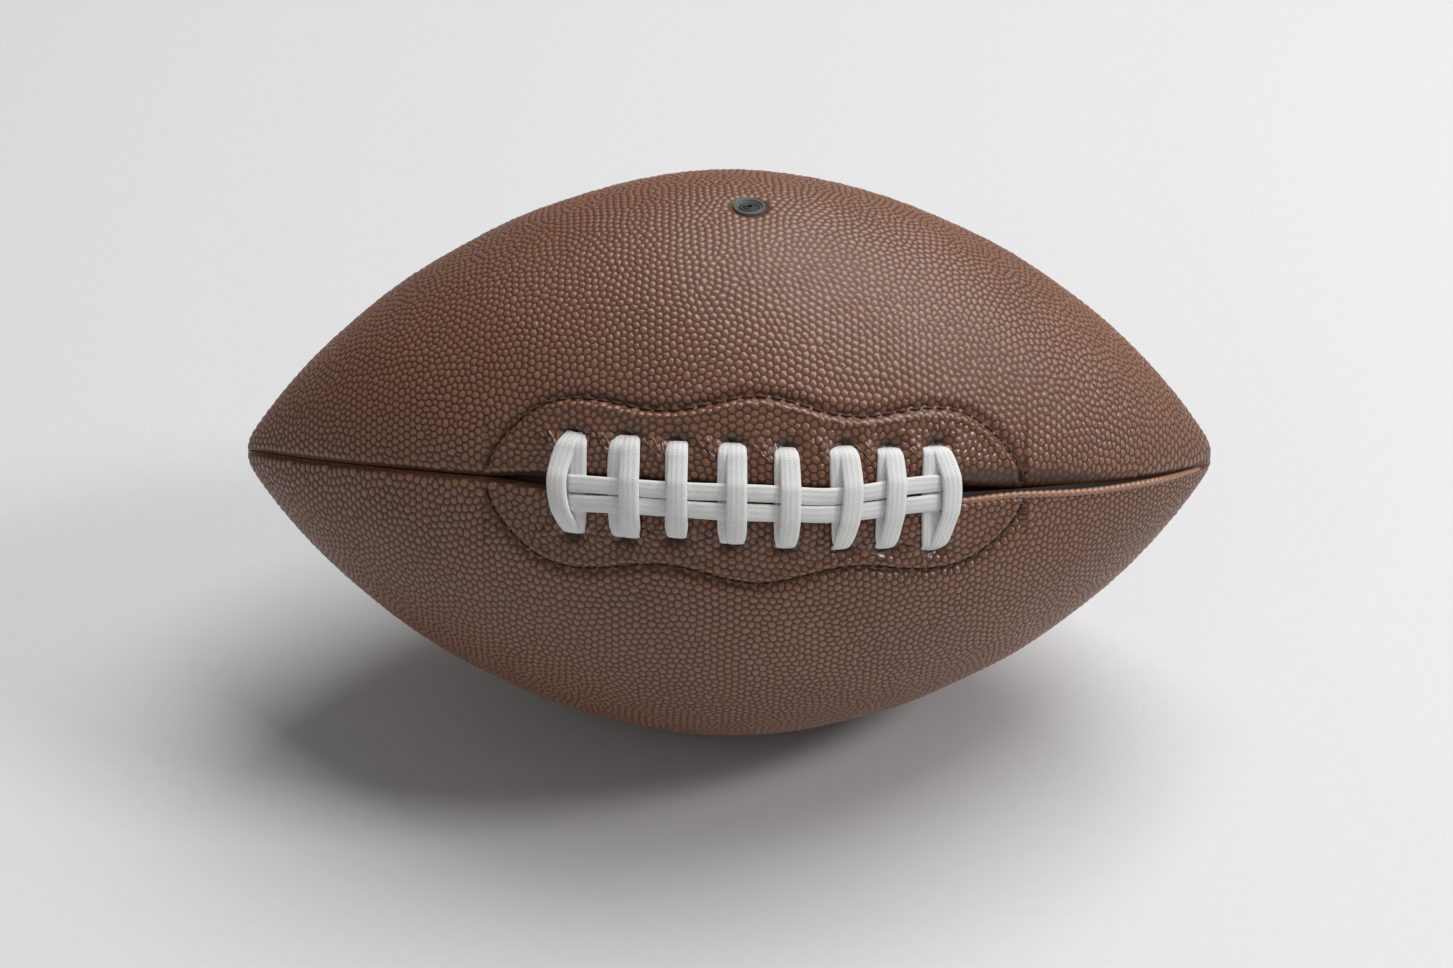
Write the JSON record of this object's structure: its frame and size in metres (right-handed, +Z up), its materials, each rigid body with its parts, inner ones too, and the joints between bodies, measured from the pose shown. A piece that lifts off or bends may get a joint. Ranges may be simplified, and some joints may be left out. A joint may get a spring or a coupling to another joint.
{
  "type": "american football",
  "caption": "Prolate leather football with pebbled stitched panels, a raised flat lace over a slit, an inflatable bladder inside, and a rubber valve with a pull-out plug.",
  "frame": {"origin": "middle of the contact flat that the ball lies on", "axes": "+X along the ball from nose to nose, +Z up, lacing towards -Y and upwards"},
  "size_m": [0.2878, 0.168, 0.1668],
  "materials": {
    "cover_leather": "pebbled, waxy satin",
    "lining_cloth": "plain woven cotton",
    "thread": "waxed thread",
    "bladder_rubber": "smooth butyl",
    "valve_rubber": "moulded matt",
    "plug_rubber": "moulded satin",
    "lace_webbing": "flat woven, white",
    "patch_leather": "smooth split leather",
    "tongue_vinyl": "smooth"
  },
  "bodies": {
    "ball": {"panel_upper_front": "cover_leather", "panel_lower_front": "cover_leather", "panel_upper_back": "cover_leather", "panel_lower_back": "cover_leather", "lining_upper_front": "lining_cloth", "lining_lower_front": "lining_cloth", "lining_upper_back": "lining_cloth", "lining_lower_back": "lining_cloth", "seam_thread_front_left": "thread", "seam_thread_front_right": "thread", "seam_thread_top": "thread", "seam_thread_back": "thread", "seam_thread_bottom": "thread", "patch_thread_upper": "thread", "patch_thread_lower": "thread", "bladder": "bladder_rubber", "valve_housing": "valve_rubber", "lace": "lace_webbing", "lace_patch_upper": "patch_leather", "lace_patch_lower": "patch_leather", "lace_tongue": "tongue_vinyl"},
    "plug": {"valve_plug": "plug_rubber"}
  },
  "joints": [
    {"name": "valve_plug_pull", "type": "slide", "parent": "ball", "child": "plug", "axis": [0, 0, 1], "range_m": [0, 0.014]}
  ]
}
